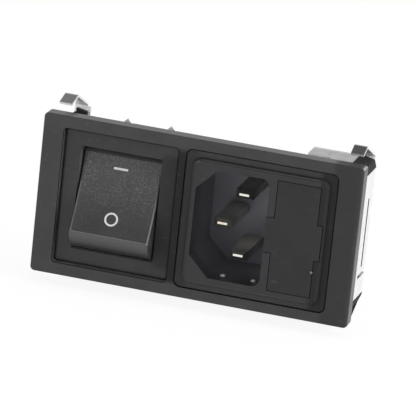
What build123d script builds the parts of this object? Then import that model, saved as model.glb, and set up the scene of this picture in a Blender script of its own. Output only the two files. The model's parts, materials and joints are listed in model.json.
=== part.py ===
from build123d import *
import os
from math import cos, radians, sin, sqrt, tan

# Power entry module for a panel: a snap-in bezel that carries a double-pole
# rocker switch and an appliance inlet with a fuse drawer beside it.
# Millimetres. The origin is the centre of the panel seat, the back face of the
# bezel's rim. +X is right, +Z is up and +Y goes into the panel.

# Bezel
bezel_width = 73.4
bezel_height = 36.8
bezel_thick = 3.3
bezel_corner = 1.0
bezel_edge = 0.3
plate_edge = 0.3
rim_overlap_x = 1.9
rim_overlap_z = 2.75
skirt_depth = 5.5
seat_groove = 0.3
skirt_wall = 1.2
web_back = 1.4
divider_wall = 1.3
window_corner = 0.8

# Corner posts behind the bezel
post_width = 3.1
post_depth = 13.9
post_root = 12.0
top_post_reach = 16.5
top_post_slope = 0.7
low_post_reach = 17.0
low_post_bevel = 1.0
post_bevel_side = 0.5
post_lead_in = 6.9
post_lead_rise = 1.55
left_post_top = 14.6
lug_reach = 15.7
lug_slope = 0.5
lug_width = 2.5
lug_thick = 1.0

# Clearances
slide_gap = 0.15
seat_gap = 0.1
rest_gap = 0.05
bore_gap = 0.05
knife_gap = 0.1

# Switch housing
switch_x = -18.55
switch_plate_width = 26.6
switch_plate_height = 31.1
switch_plate_recess = 1.2
switch_plate_thick = 1.0
switch_plate_edge = 0.7
switch_window_gap = 0.15
switch_rim_thick = 1.2
opening_width = 19.0
opening_height = 23.9
housing_wall_x = 1.5
housing_wall_z = 1.0
housing_inner_height = 24.6
housing_back = 15.2
barb_width = 7.0
barb_rise = 0.5
barb_length = 2.4

# Rocker
throw_angle = 43.0
rocker_width = 18.2
rocker_pivot_y = 1.575
rocker_chord = 18.3
rocker_end_bulge = 0.5
rocker_face_y = -5.02
rocker_face_sag = 0.9
rocker_radius = 12.0
rocker_shoulder_y = -0.3
rocker_back_y = 1.5
rocker_wall = 1.4
rocker_edge = 0.45
trunnion_r = 1.5
trunnion_length = 1.3
pad_r = 2.6

# Plungers in the rocker
pole_pitch = 10.3
tube_bore_r = 1.55
tube_wall = 0.8
tube_end_y = 3.0
plunger_tip_y = 7.6
plunger_shoulder_y = 0.8
plunger_bore_depth = 2.6
spring_outer_r = 1.05
spring_wire = 0.4
spring_turns = 5

# Contacts in the switch
strip_thick = 0.8
blade_width = 4.8
blade_tip_bevel = 2.2
knife_y = 10.6
seat_start = 5.0
blade_z = 8.2
blade_reach_z = 13.4
blade_back_y = 19.45
blade_bend = 1.0
slot_bend = 0.05
lever_width = 4.0
lever_reach = 8.2
lever_rise_angle = 6.0
lever_throw = 24.0
contact_z = 6.9
rivet_r = 1.3
rivet_shank_r = 0.65
rivet_peen = 0.2
moving_rivet = 0.55
fixed_rivet = 0.45
rivet_edge = 0.15

# Switch base
base_thick = 1.8
barrier_thick = 1.2
barrier_front = 9.0
barrier_half_height = 9.0
latch_width = 4.0
latch_rise = 0.7
latch_thick = 0.9

# Inlet body
inlet_x = 13.85
inlet_flange_width = 34.7
inlet_flange_height = 31.8
inlet_flange_recess = 0.2
inlet_flange_thick = 1.2
inlet_window_gap = 0.14
inlet_corner = 1.6
plateau_width = 31.3
plateau_height = 28.8
plateau_rise = 1.0
plateau_corner = 2.0
plateau_edge = 0.9
inlet_body_width = 31.7
inlet_body_height = 26.8
inlet_back = 15.3
inlet_rim = 1.4
inlet_barb_width = 14.0

# Appliance inlet cavity and its pins
cavity_offset = 5.95
cavity_width = 16.6
cavity_height = 24.8
cavity_bevel = 4.7
cavity_corner = 2.0
cavity_floor = 12.2
floor_thick = 1.0
pin_width = 4.0
pin_thick = 2.0
pin_tip_side = 0.9
pin_tip_up = 0.75
live_spacing = 14.0
earth_offset = 4.0
live_tip_y = -1.1
earth_tip_y = -2.1
shoulder_depth = 0.6
tab_width = 6.3
tab_thick = 0.8
tab_length = 8.0
tab_tip = 1.2
tab_hole_r = 0.9
tab_hole_back = 3.2

# Fuse drawer
drawer_offset = 9.05
drawer_width = 10.0
drawer_height = 25.5
drawer_face_thick = 1.8
drawer_back = 11.4
grip_height = 8.3
grip_inset = 0.4
fuse_length = 20.0
fuse_glass_r = 2.3
fuse_cap_r = 2.6
fuse_cap_length = 5.2
fuse_cap_wall = 0.25
fuse_bore_r = 1.7
fuse_wire_r = 0.15
fuse_pocket_gap = 0.15
fuse_snap = 0.5
fuse_y = 8.6
spare_y = 0.6
clip_width = 3.6
clip_thick = 0.4
clip_turn_z = 10.3
clip_start_z = 5.2
clip_root_y = 12.0
clip_bow_y = 11.65
clip_bow_z = 7.6
clip_bend = 0.3
strap_width = 4.6
load_tab_z = 4.8
stem_r = 1.1

# End brackets of spring sheet
sheet = 0.5
bracket_front = 0.4
bracket_top = 14.1
bracket_low = 14.8
bracket_bend = 0.5
left_web_width = 3.65
right_web_width = 13.9
side_web_width = 4.4
flange_inset = 3.4
flange_front = 8.6
flange_near_width = 5.2
flange_near_front = 3.0
leaf_inset = 2.95
leaf_overhang = 0.05
leaf_root_rise = 1.0
leaf_peak_y = 5.4
leaf_peak_rise = 5.4
leaf_tip_forward = 2.7
leaf_tip_drop = 1.25
flat_tip_forward = 4.1
flat_tip_drop = 1.05
leaf_bend = 0.8
slit_y = 10.1
slit_width = 0.95
slit_top = 7.9
slit_low = -8.0
slot_z = -9.85
slot_width = 0.85
slot_length = 7.4

# Sizes that follow
front_y = -bezel_thick
tilt = throw_angle / 2
skirt_half_width = bezel_width / 2 - rim_overlap_x
skirt_half_height = bezel_height / 2 - rim_overlap_z
tube_root = rocker_face_y + rocker_face_sag + rocker_wall / 2
spring_start_y = tube_root + rocker_wall + rest_gap
spring_end_y = plunger_shoulder_y + plunger_bore_depth - rest_gap
post_outer = skirt_half_width + seat_gap + sheet
post_inner = skirt_half_width - post_width
top_post_start = bracket_top + seat_gap
low_post_start = bracket_low + seat_gap
leaf_inner = skirt_half_width - leaf_inset
leaf_outer = skirt_half_width + leaf_overhang
leaf_root_z = skirt_half_height + leaf_root_rise
leaf_peak_z = skirt_half_height + leaf_peak_rise
switch_face_y = front_y + switch_plate_recess
switch_plate_back = switch_face_y + switch_plate_thick
housing_width = opening_width + 2 * housing_wall_x
housing_height = housing_inner_height + 2 * housing_wall_z
inlet_flange_y = front_y + inlet_flange_recess
inlet_flange_back = inlet_flange_y + inlet_flange_thick
plateau_y = front_y - plateau_rise
pole_xs = {"left": switch_x - pole_pitch / 2, "right": switch_x + pole_pitch / 2}
base_front = housing_back - base_thick
latch_back = housing_back - (base_thick - latch_thick) / 2
strip_front = base_front - strip_thick
cavity_x = inlet_x - cavity_offset
drawer_x = inlet_x + drawer_offset
grip_right = inlet_x + plateau_width / 2 - grip_inset
live_x = cavity_x + earth_offset / 2
earth_x = cavity_x - earth_offset / 2
floor_back = cavity_floor + floor_thick
cover_front = floor_back + shoulder_depth
tab_end = inlet_back + tab_length
cavity_right = cavity_x + cavity_width / 2
pin_places = {"neutral": (live_x, -live_spacing / 2), "earth": (earth_x, 0.0)}
pin_tips = {"neutral": live_tip_y, "earth": earth_tip_y}


def at_depth(y):
    """Plane that faces the viewer at this depth: right is local x, up is local y."""
    return Plane(origin=(0, y, 0), x_dir=(1, 0, 0), z_dir=(0, -1, 0))


def across(x):
    """Plane across the module at this x: depth is local x, up is local y."""
    return Plane(origin=(x, 0, 0), x_dir=(0, 1, 0), z_dir=(1, 0, 0))


def rocker_side():
    """Side plane of the tilted rocker, with its pivot as the origin."""
    return Plane(
        origin=(switch_x, rocker_pivot_y, 0),
        x_dir=(0, cos(radians(tilt)), -sin(radians(tilt))),
        z_dir=(1, 0, 0),
    )


def rocker_depth(depth, x=switch_x):
    """Plane square to the rocker's own depth, facing the viewer."""
    c, s = cos(radians(tilt)), sin(radians(tilt))
    return Plane(
        origin=(x, rocker_pivot_y + depth * c, -depth * s),
        x_dir=(1, 0, 0),
        z_dir=(0, -c, s),
    )


def lever_side(x):
    """Side plane of a tilted contact lever, with its knife edge as the origin."""
    a = radians(lever_throw / 2)
    return Plane(origin=(x, knife_y, 0), x_dir=(0, cos(a), sin(a)), z_dir=(1, 0, 0))


def save(part, name):
    """Name a finished piece and write it."""
    part.label = name
    export_step(part, f"parts/{name}.step")


os.makedirs("parts", exist_ok=True)

# Bezel with its skirt, inner web and four corner posts
with BuildPart() as bezel:
    with BuildSketch(at_depth(0)):
        RectangleRounded(bezel_width, bezel_height, bezel_corner)
    extrude(amount=bezel_thick)
    fillet(bezel.faces().sort_by(Axis.Y)[0].outer_wire().edges(), bezel_edge)
    with BuildSketch(at_depth(0)):
        Rectangle(2 * (post_outer + slide_gap), 2 * (low_post_reach + slide_gap))
    extrude(amount=seat_groove, mode=Mode.SUBTRACT)
    with BuildSketch(at_depth(skirt_depth)):
        Rectangle(2 * skirt_half_width, 2 * skirt_half_height)
    extrude(amount=skirt_depth + seat_groove)
    with BuildSketch(at_depth(skirt_depth)):
        Rectangle(2 * (skirt_half_width - skirt_wall), 2 * (skirt_half_height - skirt_wall))
    extrude(amount=skirt_depth - web_back, mode=Mode.SUBTRACT)
    with BuildSketch(at_depth(post_depth)):
        for side in (-1, 1):
            with BuildLine():
                Polyline(
                    (side * post_inner, -post_root),
                    (side * skirt_half_width, -post_root),
                    (side * skirt_half_width, -low_post_start),
                    (side * post_outer, -low_post_start),
                    (side * post_outer, low_post_bevel - low_post_reach),
                    (side * (post_outer - post_bevel_side), -low_post_reach),
                    (side * post_inner, -low_post_reach),
                    close=True,
                )
            make_face()
        with BuildLine():
            Polyline(
                (post_inner, post_root),
                (skirt_half_width, post_root),
                (skirt_half_width, top_post_start),
                (post_outer, top_post_start),
                (post_outer - post_bevel_side, top_post_reach - top_post_slope),
                (post_inner + post_bevel_side, top_post_reach),
                (post_inner, top_post_reach),
                close=True,
            )
        make_face()
        with Locations((-(post_inner + skirt_half_width) / 2, (post_root + left_post_top) / 2)):
            Rectangle(post_width, left_post_top - post_root)
    extrude(amount=post_depth + seat_groove)
    with BuildSketch(at_depth(post_depth)):
        with BuildLine():
            Polyline(
                (-post_inner, post_root),
                (-post_inner, lug_reach - lug_slope),
                (-post_inner - lug_width, lug_reach),
                (-post_inner - lug_width, post_root),
                close=True,
            )
        make_face()
    extrude(amount=lug_thick)
    with BuildSketch(across(-post_outer)):
        with BuildLine():
            Polyline(
                (post_depth, -low_post_reach),
                (post_depth, post_lead_rise - low_post_reach),
                (post_depth - post_lead_in, -low_post_reach),
                close=True,
            )
        make_face()
    extrude(amount=2 * post_outer, mode=Mode.SUBTRACT)
    with BuildSketch(at_depth(switch_plate_back)):
        with Locations((switch_x, 0)):
            RectangleRounded(
                switch_plate_width + 2 * switch_window_gap,
                switch_plate_height + 2 * switch_window_gap,
                window_corner + switch_window_gap,
            )
    extrude(amount=switch_plate_back - front_y, mode=Mode.SUBTRACT)
    with BuildSketch(at_depth(inlet_flange_back)):
        with Locations((inlet_x, 0)):
            RectangleRounded(
                inlet_flange_width + 2 * inlet_window_gap,
                inlet_flange_height + 2 * inlet_window_gap,
                inlet_corner,
            )
    extrude(amount=inlet_flange_back - front_y, mode=Mode.SUBTRACT)
    with BuildSketch(at_depth(web_back)):
        with Locations((switch_x, 0)):
            Rectangle(housing_width + 2 * seat_gap, housing_height + 2 * seat_gap)
        with Locations((inlet_x, 0)):
            Rectangle(inlet_body_width + 2 * seat_gap, inlet_body_height + 2 * seat_gap)
    extrude(amount=web_back - front_y, mode=Mode.SUBTRACT)
save(bezel.part, "bezel")

# Switch housing: a front plate with the rocker's opening and a square tube behind it
with BuildPart() as switch_housing:
    with BuildSketch(at_depth(switch_plate_back)):
        with Locations((switch_x, 0)):
            RectangleRounded(switch_plate_width, switch_plate_height, window_corner)
    extrude(amount=switch_plate_thick)
    fillet(switch_housing.faces().sort_by(Axis.Y)[0].outer_wire().edges(), switch_plate_edge)
    with BuildSketch(at_depth(housing_back)):
        with Locations((switch_x, 0)):
            RectangleRounded(housing_width, housing_height, window_corner)
    extrude(amount=housing_back - switch_plate_back)
    with BuildSketch(at_depth(housing_back)):
        with Locations((switch_x, 0)):
            Rectangle(opening_width, housing_inner_height)
    extrude(amount=housing_back - switch_face_y - switch_rim_thick, mode=Mode.SUBTRACT)
    with BuildSketch(at_depth(housing_back)):
        with Locations((switch_x, 0)):
            Rectangle(opening_width, opening_height)
    extrude(amount=housing_back - switch_face_y, mode=Mode.SUBTRACT)
    with BuildSketch(across(switch_x)):
        for level in (-1, 1):
            with BuildLine():
                Polyline(
                    (web_back + rest_gap, level * (housing_height / 2 - rest_gap)),
                    (web_back + rest_gap, level * (housing_height / 2 + barb_rise)),
                    (web_back + rest_gap + barb_length, level * (housing_height / 2 - rest_gap)),
                    close=True,
                )
            make_face()
    extrude(amount=barb_width / 2, both=True)
    with BuildSketch(across(switch_x)):
        with Locations((rocker_pivot_y, 0)):
            Circle(trunnion_r + bore_gap)
    extrude(amount=housing_width, both=True, mode=Mode.SUBTRACT)
    with BuildSketch(at_depth(latch_back + slide_gap)):
        with Locations((switch_x, 0)):
            Rectangle(latch_width + 2 * slide_gap, housing_height)
    extrude(amount=latch_thick + 2 * slide_gap, mode=Mode.SUBTRACT)
save(switch_housing.part, "switch_housing")

# Switch base: plate with the terminal slots, a barrier between the poles and two latches
with BuildPart() as switch_base:
    with BuildSketch(at_depth(housing_back)):
        with Locations((switch_x, 0)):
            Rectangle(opening_width - 2 * seat_gap, housing_inner_height - 2 * seat_gap)
    extrude(amount=base_thick)
    with BuildSketch(at_depth(base_front)):
        with Locations((switch_x, 0)):
            Rectangle(barrier_thick, 2 * barrier_half_height)
    extrude(amount=base_front - barrier_front)
    with BuildSketch(at_depth(latch_back)):
        with Locations((switch_x, 0)):
            Rectangle(latch_width, housing_inner_height - 2 * seat_gap + 2 * latch_rise)
    extrude(amount=latch_thick)
    with BuildSketch(at_depth(housing_back)):
        for pole_x in pole_xs.values():
            with Locations((pole_x, blade_z), (pole_x, -blade_z)):
                Rectangle(blade_width + 2 * rest_gap, strip_thick + 2 * rest_gap)
    extrude(amount=base_thick, mode=Mode.SUBTRACT)
save(switch_base.part, "switch_base")

# Rocker: a hollow moulding with a hollowed face, turned to its pressed-in-at-the-top place
half_chord = rocker_chord / 2
shoulder_z = sqrt(rocker_radius**2 - rocker_shoulder_y**2)
end_middle = Vector(rocker_face_y + rocker_shoulder_y, half_chord + shoulder_z) / 2
end_outward = Vector(half_chord - shoulder_z, rocker_shoulder_y - rocker_face_y).normalized()
end_crest = end_middle + end_outward * rocker_end_bulge
back_z = sqrt(rocker_radius**2 - rocker_back_y**2)
with BuildPart() as rocker:
    with BuildSketch(rocker_side()) as rocker_outline:
        with BuildLine():
            ThreePointArc(
                (rocker_face_y, half_chord),
                (rocker_face_y + rocker_face_sag, 0),
                (rocker_face_y, -half_chord),
            )
            ThreePointArc(
                (rocker_face_y, -half_chord),
                (end_crest.X, -end_crest.Y),
                (rocker_shoulder_y, -shoulder_z),
            )
            ThreePointArc(
                (rocker_shoulder_y, -shoulder_z),
                (rocker_back_y / 2, -sqrt(rocker_radius**2 - (rocker_back_y / 2) ** 2)),
                (rocker_back_y, -back_z),
            )
            Line((rocker_back_y, -back_z), (rocker_back_y, back_z))
            ThreePointArc(
                (rocker_back_y, back_z),
                (rocker_back_y / 2, sqrt(rocker_radius**2 - (rocker_back_y / 2) ** 2)),
                (rocker_shoulder_y, shoulder_z),
            )
            ThreePointArc(
                (rocker_shoulder_y, shoulder_z),
                (end_crest.X, end_crest.Y),
                (rocker_face_y, half_chord),
            )
        make_face()
    extrude(amount=rocker_width / 2, both=True)
    fillet(
        rocker.faces().filter_by(GeomType.CYLINDER).sort_by(SortBy.AREA)[-1].edges(),
        rocker_edge,
    )
    with BuildSketch(rocker_side()):
        offset(rocker_outline.sketch_local, amount=-rocker_wall)
        with BuildLine():
            Polyline(
                (0, -rocker_radius + rocker_wall + rest_gap),
                (rocker_radius, -rocker_radius + rocker_wall + rest_gap),
                (rocker_radius, rocker_radius - rocker_wall - rest_gap),
                (0, rocker_radius - rocker_wall - rest_gap),
                close=True,
            )
        make_face()
    extrude(amount=rocker_width / 2 - rocker_wall, both=True, mode=Mode.SUBTRACT)
    for pole_x in pole_xs.values():
        with BuildSketch(rocker_depth(tube_end_y, pole_x)):
            Circle(tube_bore_r + tube_wall)
        extrude(amount=tube_end_y - tube_root)
        with BuildSketch(rocker_depth(tube_end_y, pole_x)):
            Circle(tube_bore_r)
        extrude(amount=tube_end_y - tube_root - rocker_wall, mode=Mode.SUBTRACT)
    wall_middle = rocker_width / 2 - rocker_wall / 2
    for side in (-1, 1):
        with BuildSketch(rocker_side().offset(side * wall_middle)):
            Circle(pad_r)
        extrude(amount=side * (opening_width / 2 - seat_gap - wall_middle))
        with BuildSketch(rocker_side().offset(side * wall_middle)):
            Circle(trunnion_r)
        extrude(amount=side * (opening_width / 2 + trunnion_length - wall_middle))
save(rocker.part, "rocker")


def make_plunger(side, x):
    """Plunger with a round tip, hollow at the spring's end."""
    radius = tube_bore_r - bore_gap
    bore = spring_outer_r + rest_gap
    with BuildPart() as plunger:
        with BuildSketch(rocker_depth(plunger_tip_y - radius, x)):
            Circle(radius)
        extrude(amount=plunger_tip_y - radius - plunger_shoulder_y)
        with Locations(rocker_depth(plunger_tip_y - radius, x)):
            Sphere(radius)
        with BuildSketch(rocker_depth(plunger_shoulder_y, x)):
            Circle(bore)
        extrude(amount=-plunger_bore_depth, mode=Mode.SUBTRACT)
    save(plunger.part, f"plunger_{side}")


def make_spring(side, x):
    """Coil spring between the rocker's tube and the plunger."""
    length = spring_end_y - spring_start_y
    radius = spring_outer_r - spring_wire / 2
    plane = rocker_depth(spring_end_y - spring_wire / 2, x)
    with BuildPart() as spring:
        with BuildLine():
            coil = Helix(
                pitch=(length - spring_wire) / spring_turns,
                height=length - spring_wire,
                radius=radius,
                center=plane.origin,
                direction=plane.z_dir,
            )
        with BuildSketch(Plane(origin=coil @ 0, z_dir=coil % 0)):
            Circle(spring_wire / 2)
        sweep(path=coil, is_frenet=True)
    save(spring.part, f"plunger_spring_{side}")


# Plungers and their springs
for side, pole_x in pole_xs.items():
    make_plunger(side, pole_x)
    make_spring(side, pole_x)


def lever_contact(x):
    """Plane on the back of a lever's lower arm at its contact, facing the base."""
    swing, rise = radians(lever_throw / 2), radians(lever_rise_angle)
    back = -knife_gap - contact_z * tan(rise)
    return Plane(
        origin=(
            x,
            knife_y + back * cos(swing) + contact_z * sin(swing),
            back * sin(swing) - contact_z * cos(swing),
        ),
        x_dir=(1, 0, 0),
        z_dir=(0, cos(swing - rise), sin(swing - rise)),
    )


def make_lever(side, x):
    """Contact lever with a shallow bend over its knife edge, and the rivet it carries."""
    front = -knife_gap - strip_thick
    back = -knife_gap
    rise = tan(radians(lever_rise_angle)) * lever_reach
    with BuildPart() as lever:
        with BuildSketch(lever_side(x)):
            with BuildLine():
                Polyline(
                    (front, 0),
                    (front - rise, lever_reach),
                    (back - rise, lever_reach),
                    (back, 0),
                    (back - rise, -lever_reach),
                    (front - rise, -lever_reach),
                    close=True,
                )
            make_face()
        extrude(amount=lever_width / 2, both=True)
        with BuildSketch(lever_contact(x)):
            Circle(rivet_shank_r + rest_gap)
        extrude(amount=-2 * strip_thick, mode=Mode.SUBTRACT)
    save(lever.part, f"contact_lever_{side}")
    with BuildPart() as rivet:
        with BuildSketch(lever_contact(x)):
            Circle(rivet_r)
        extrude(amount=moving_rivet)
        fillet(rivet.edges().sort_by(Axis.Y)[-1], rivet_edge)
        with BuildSketch(lever_contact(x)):
            Circle(rivet_shank_r)
        extrude(amount=-strip_thick - rivet_peen)
    save(rivet.part, f"moving_contact_{side}")


def make_switch_terminal(name, x, level, start, start_bends):
    """Bent strip that crosses the base and turns outwards into a pointed blade."""
    half = strip_thick / 2
    shank = blade_z - half
    points = start + [
        (base_front, level * shank),
        (blade_back_y + half, level * shank),
        (blade_back_y + half, level * blade_reach_z),
    ]
    with BuildPart() as terminal:
        with BuildSketch(across(x)):
            with BuildLine():
                FilletPolyline(*points, radius=start_bends + [slot_bend, blade_bend])
                offset(amount=strip_thick, side=Side.LEFT if level > 0 else Side.RIGHT)
            make_face()
        extrude(amount=blade_width / 2, both=True)
        tip = terminal.faces().sort_by(Axis.Z)[-1 if level > 0 else 0]
        chamfer(tip.edges().filter_by(Axis.Y), blade_tip_bevel)
    save(terminal.part, name)


def make_fixed_contact(side, x):
    """Silver rivet that the lever's contact closes on."""
    z = lever_contact(x).origin.Z
    with BuildPart() as contact:
        with BuildSketch(Plane(origin=(x, strip_front, z), x_dir=(1, 0, 0), z_dir=(0, -1, 0))):
            Circle(rivet_r)
        extrude(amount=fixed_rivet)
        fillet(contact.edges().sort_by(Axis.Y)[0], rivet_edge)
    save(contact.part, f"fixed_contact_{side}")


# Contact levers, their rivets and the four terminals of the switch
for side, pole_x in pole_xs.items():
    make_lever(side, pole_x)
    make_fixed_contact(side, pole_x)
    knife = [(knife_y, -strip_thick / 2), (base_front, -strip_thick / 2)]
    seat = [(base_front, -seat_start)]
    make_switch_terminal(f"supply_terminal_{side}", pole_x, 1, knife, [blade_bend])
    make_switch_terminal(f"load_terminal_{side}", pole_x, -1, seat, [])

# Inlet body: flange, raised face, socket cavity and drawer chamber in one moulding
pocket_width = inlet_body_width - 2 * inlet_rim
pocket_height = inlet_body_height - 2 * inlet_rim
with BuildPart() as inlet_body:
    with BuildSketch(at_depth(inlet_flange_back)):
        with Locations((inlet_x, 0)):
            RectangleRounded(inlet_flange_width, inlet_flange_height, inlet_corner - inlet_window_gap)
    extrude(amount=inlet_flange_thick)
    fillet(inlet_body.faces().sort_by(Axis.Y)[0].outer_wire().edges(), plate_edge)
    with BuildSketch(at_depth(inlet_flange_y)):
        with Locations((inlet_x, 0)):
            RectangleRounded(plateau_width, plateau_height, plateau_corner)
    extrude(amount=inlet_flange_y - plateau_y)
    fillet(inlet_body.faces().sort_by(Axis.Y)[0].outer_wire().edges(), plateau_edge)
    with BuildSketch(at_depth(inlet_back)):
        with Locations((inlet_x, 0)):
            RectangleRounded(inlet_body_width, inlet_body_height, inlet_corner)
    extrude(amount=inlet_back - inlet_flange_back)
    with BuildSketch(at_depth(cavity_floor)) as cavity:
        with Locations((cavity_x, 0)):
            Rectangle(cavity_width, cavity_height)
        chamfer(cavity.vertices().group_by(Axis.X)[0], cavity_bevel)
        fillet(cavity.vertices().group_by(Axis.X)[-1], cavity_corner)
    extrude(amount=cavity_floor - plateau_y, mode=Mode.SUBTRACT)
    with BuildSketch(at_depth(cavity_floor)):
        with Locations((drawer_x, 0)):
            Rectangle(drawer_width, drawer_height)
    extrude(amount=cavity_floor - plateau_y, mode=Mode.SUBTRACT)
    with BuildSketch(at_depth(plateau_y + drawer_face_thick + slide_gap)):
        with Locations(((cavity_x + grip_right) / 2, 0)):
            Rectangle(grip_right - cavity_x, grip_height)
    extrude(amount=drawer_face_thick + slide_gap, mode=Mode.SUBTRACT)
    with BuildSketch(at_depth(inlet_back)):
        with Locations((inlet_x, 0)):
            Rectangle(pocket_width, pocket_height)
    extrude(amount=inlet_back - floor_back, mode=Mode.SUBTRACT)
    with BuildSketch(at_depth(floor_back)):
        with Locations((live_x, live_spacing / 2), (live_x, -live_spacing / 2), (earth_x, 0)):
            Rectangle(pin_width + 2 * rest_gap, pin_thick + 2 * rest_gap)
        with Locations((drawer_x, clip_turn_z), (drawer_x, -clip_turn_z)):
            Rectangle(clip_width + 2 * slide_gap, clip_thick + 2 * slide_gap)
    extrude(amount=floor_thick, mode=Mode.SUBTRACT)
    with BuildSketch(across(inlet_x)):
        for level in (-1, 1):
            with BuildLine():
                Polyline(
                    (web_back + rest_gap, level * (inlet_body_height / 2 - rest_gap)),
                    (web_back + rest_gap, level * (inlet_body_height / 2 + barb_rise)),
                    (
                        web_back + rest_gap + barb_length,
                        level * (inlet_body_height / 2 - rest_gap),
                    ),
                    close=True,
                )
            make_face()
    extrude(amount=inlet_barb_width / 2, both=True)
save(inlet_body.part, "inlet_body")

# Rear cover of the inlet, with a slot for each tab
with BuildPart() as inlet_cover:
    with BuildSketch(at_depth(inlet_back)):
        with Locations((inlet_x, 0)):
            Rectangle(pocket_width - 2 * seat_gap, pocket_height - 2 * seat_gap)
    extrude(amount=inlet_back - cover_front)
    with BuildSketch(at_depth(inlet_back)):
        with Locations(*pin_places.values(), (drawer_x, -load_tab_z)):
            Rectangle(tab_width + 2 * rest_gap, tab_thick + 2 * rest_gap)
    extrude(amount=inlet_back - cover_front, mode=Mode.SUBTRACT)
save(inlet_cover.part, "inlet_cover")


def make_tabbed_pin(name, x, z, tip_y):
    """Contact pin of the inlet, with a shoulder and a flat push-on tab behind it."""
    with BuildPart() as pin:
        with BuildSketch(at_depth(cover_front)):
            with Locations((x, z)):
                Rectangle(pin_width, pin_thick)
        extrude(amount=cover_front - tip_y)
        chamfer(pin.faces().sort_by(Axis.Y)[0].edges().filter_by(Axis.Z), pin_tip_side)
        chamfer(pin.faces().sort_by(Axis.Y)[0].edges().filter_by(Axis.X), pin_tip_up)
        with BuildSketch(at_depth(cover_front)):
            with Locations((x, z)):
                Rectangle(tab_width, pin_thick)
        extrude(amount=shoulder_depth)
        with BuildSketch(at_depth(tab_end)):
            with Locations((x, z)):
                Rectangle(tab_width, tab_thick)
        extrude(amount=tab_end - cover_front)
        chamfer(pin.faces().sort_by(Axis.Y)[-1].edges().filter_by(Axis.Z), tab_tip)
        with BuildSketch(Plane.XY.offset(z)):
            with Locations((x, tab_end - tab_hole_back)):
                Circle(tab_hole_r)
        extrude(amount=tab_thick, both=True, mode=Mode.SUBTRACT)
    save(pin.part, f"pin_{name}")


# Pins of the inlet
for name, (pin_x, pin_z) in pin_places.items():
    make_tabbed_pin(name, pin_x, pin_z, pin_tips[name])

# The line pin has no tab: its stem is riveted into the strap of the first fuse clip
with BuildPart() as pin_line:
    with BuildSketch(at_depth(floor_back)):
        with Locations((live_x, live_spacing / 2)):
            Rectangle(pin_width, pin_thick)
    extrude(amount=floor_back - live_tip_y)
    chamfer(pin_line.faces().sort_by(Axis.Y)[0].edges().filter_by(Axis.Z), pin_tip_side)
    chamfer(pin_line.faces().sort_by(Axis.Y)[0].edges().filter_by(Axis.X), pin_tip_up)
    with BuildSketch(at_depth(cover_front - rest_gap)):
        with Locations((live_x, live_spacing / 2)):
            Circle(stem_r)
    extrude(amount=cover_front - rest_gap - floor_back)
save(pin_line.part, "pin_line")


def clip_points(level):
    """Inner face of a fuse clip, from its strap round the floor to its sprung bow."""
    turn = clip_turn_z - clip_thick / 2
    return [
        (floor_back, level * clip_start_z),
        (floor_back, level * turn),
        (clip_root_y, level * turn),
        (clip_bow_y, level * clip_bow_z),
        (clip_root_y + rest_gap, level * clip_start_z),
    ]


# Fuse clip fed by the line pin
with BuildPart() as fuse_clip_line:
    with BuildSketch(across(drawer_x)):
        with BuildLine():
            FilletPolyline(*clip_points(1), radius=clip_bend)
            offset(amount=clip_thick, side=Side.RIGHT)
        make_face()
    extrude(amount=clip_width / 2, both=True)
    strap_left = live_x - strap_width / 2
    with BuildSketch(at_depth(floor_back + clip_thick)):
        with Locations(((strap_left + drawer_x) / 2, live_spacing / 2)):
            Rectangle(drawer_x - strap_left, strap_width)
        with Locations((live_x, live_spacing / 2)):
            Circle(stem_r + rest_gap, mode=Mode.SUBTRACT)
    extrude(amount=clip_thick)
save(fuse_clip_line.part, "fuse_clip_line")

# Fuse clip with the fused line's tab
with BuildPart() as fuse_clip_load:
    with BuildSketch(across(drawer_x)):
        with BuildLine():
            FilletPolyline(*clip_points(-1), radius=clip_bend)
            offset(amount=clip_thick, side=Side.LEFT)
        make_face()
    extrude(amount=clip_width / 2, both=True)
    with BuildSketch(at_depth(tab_end)):
        with Locations((drawer_x, -load_tab_z)):
            Rectangle(tab_width, tab_thick)
    extrude(amount=tab_end - floor_back - clip_thick / 2)
    chamfer(fuse_clip_load.faces().sort_by(Axis.Y)[-1].edges().filter_by(Axis.Z), tab_tip)
    with BuildSketch(Plane.XY.offset(-load_tab_z)):
        with Locations((drawer_x, tab_end - tab_hole_back)):
            Circle(tab_hole_r)
    extrude(amount=tab_thick, both=True, mode=Mode.SUBTRACT)
save(fuse_clip_load.part, "fuse_clip_load")

# Fuse drawer: a cross-shaped face on a carrier with a cradle behind and a spare's slot
fuse_half = fuse_length / 2 + fuse_pocket_gap
with BuildPart() as fuse_drawer:
    with BuildSketch(at_depth(drawer_back)):
        with Locations((drawer_x, 0)):
            Rectangle(drawer_width - 2 * slide_gap, drawer_height - 2 * slide_gap)
    extrude(amount=drawer_back - plateau_y)
    grip_edge = grip_right - slide_gap
    with BuildSketch(at_depth(plateau_y + drawer_face_thick)):
        with Locations(((cavity_right + grip_edge) / 2, 0)):
            Rectangle(grip_edge - cavity_right, grip_height - 2 * slide_gap)
    extrude(amount=drawer_face_thick)
    with BuildSketch(Plane.XY.offset(-fuse_half)):
        for place_y in (fuse_y, spare_y):
            with Locations((drawer_x, place_y)):
                Circle(fuse_cap_r + fuse_pocket_gap)
        with Locations((drawer_x, (fuse_y + drawer_back) / 2)):
            Rectangle(2 * fuse_cap_r - fuse_snap, drawer_back - fuse_y)
        with Locations((drawer_x + drawer_width / 4, spare_y)):
            Rectangle(drawer_width / 2, 2 * fuse_cap_r - fuse_snap)
    extrude(amount=2 * fuse_half, mode=Mode.SUBTRACT)
save(fuse_drawer.part, "fuse_drawer")


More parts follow.
